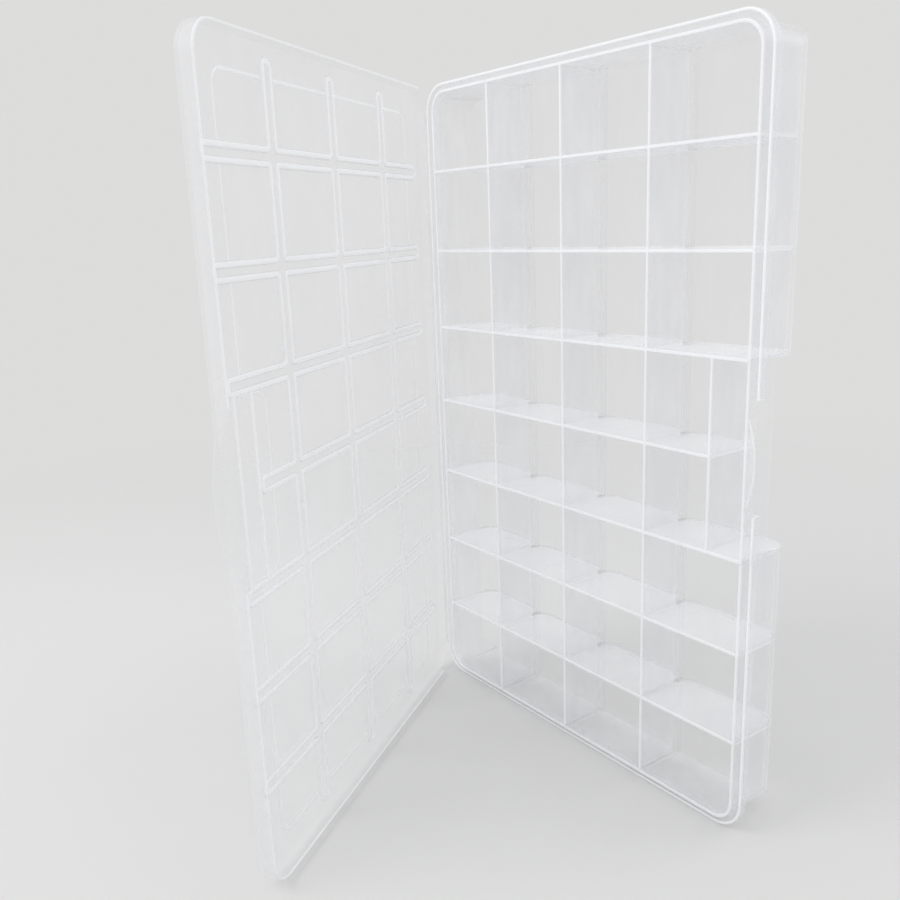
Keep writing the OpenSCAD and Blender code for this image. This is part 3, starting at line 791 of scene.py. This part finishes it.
bmesh.ops.recalc_face_normals(hinge_builder, faces=hinge_builder.faces)
living_hinge = place_mesh("living_hinge", hinge_builder)
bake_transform(living_hinge)
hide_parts("tray_hinge_strip", "lid_hinge_strip")
living_hinge.data.materials.append(polypropylene("hinge_plastic", clear=0.22, grazing=0.60, lip=FOLD_MARK,
                                                 grain=(1, 1, 0.2)))

# Floor and light: a plain pale floor that fades into an even pale background, a wide soft light from
# the upper left, a weaker one from the right, and a pale sky for the rest. All lengths are in metres.
FLOOR_SIZE = 3.0
FLOOR_FADE = (0.30, 0.95)
PAPER_DARK = (0.655, 0.648, 0.64, 1.0)
PAPER_LIGHT = (0.705, 0.698, 0.69, 1.0)
WEAVE_SCALE = 260.0
WEAVE_CONTRAST = 0.06
BACKGROUND = (0.725, 0.72, 0.717, 1.0)
SKY = (0.97, 0.985, 1.0, 1.0)
SKY_STRENGTH = 0.81
LAMPS = (("soft_key", (-0.30, -1.0, 1.10), 0.8, 7.5), ("soft_back", (0.5, 0.9, 1.2), 0.9, 3.5))
LAMP_AIM = Vector((0, 0, 0.17))
floor_builder = bmesh.new()
bmesh.ops.create_grid(floor_builder, x_segments=2, y_segments=2, size=FLOOR_SIZE)
studio_floor = place_mesh("studio_floor", floor_builder)
paper = bpy.data.materials.new("studio_floor")
paper.use_nodes = True
paper_shader = paper.node_tree.nodes["Principled BSDF"]
paper_shader.inputs["Roughness"].default_value = 0.9
paper_shader.inputs["Specular IOR Level"].default_value = 0.1
spot = Wire(paper.node_tree, paper.node_tree.nodes.new("ShaderNodeTexCoord").outputs["Object"])
reach_out = spot.node("ShaderNodeVectorMath", ((0, spot),), output="Value", operation="LENGTH")
weave = (spot.noise(WEAVE_SCALE, 2.0) - 0.5) * WEAVE_CONTRAST + 0.5
for slot, value in (("Base Color", weave.blend(PAPER_DARK, PAPER_LIGHT)),
                    ("Alpha", 1.0 - reach_out.ramp(*FLOOR_FADE))):
    paper.node_tree.links.new(value.output, paper_shader.inputs[slot])
studio_floor.data.materials.append(paper)

world = bpy.data.worlds.new("pale_room")
scene.world = world
world.use_nodes = True
paths = world.node_tree.nodes.new("ShaderNodeLightPath").outputs
straight, mirrored, passed = (Wire(world.node_tree, paths[name]) for name in (
    "Is Camera Ray", "Is Glossy Ray", "Is Transmission Ray"))
seen = straight.larger(mirrored).larger(passed)
backdrop = world.node_tree.nodes["Background"]
sky_scaled = tuple(c * SKY_STRENGTH for c in SKY[:3]) + (1.0,)
world.node_tree.links.new(seen.blend(sky_scaled, BACKGROUND).output, backdrop.inputs["Color"])
backdrop.inputs["Strength"].default_value = 1.0
for lamp_name, lamp_place, lamp_size, lamp_power in LAMPS:
    light = bpy.data.lights.new(lamp_name, "AREA")
    light.shape = "SQUARE"
    light.size = lamp_size
    light.energy = lamp_power
    lamp = bpy.data.objects.new(lamp_name, light)
    lamp.location = lamp_place
    lamp.rotation_euler = (LAMP_AIM - Vector(lamp_place)).to_track_quat("-Z", "Y").to_euler()
    scene.collection.objects.link(lamp)

scene.view_settings.view_transform = "Standard"
scene.cycles.transparent_max_bounces = 48
scene.cycles.max_bounces = 6
scene.cycles.diffuse_bounces = 2
scene.cycles.glossy_bounces = 2
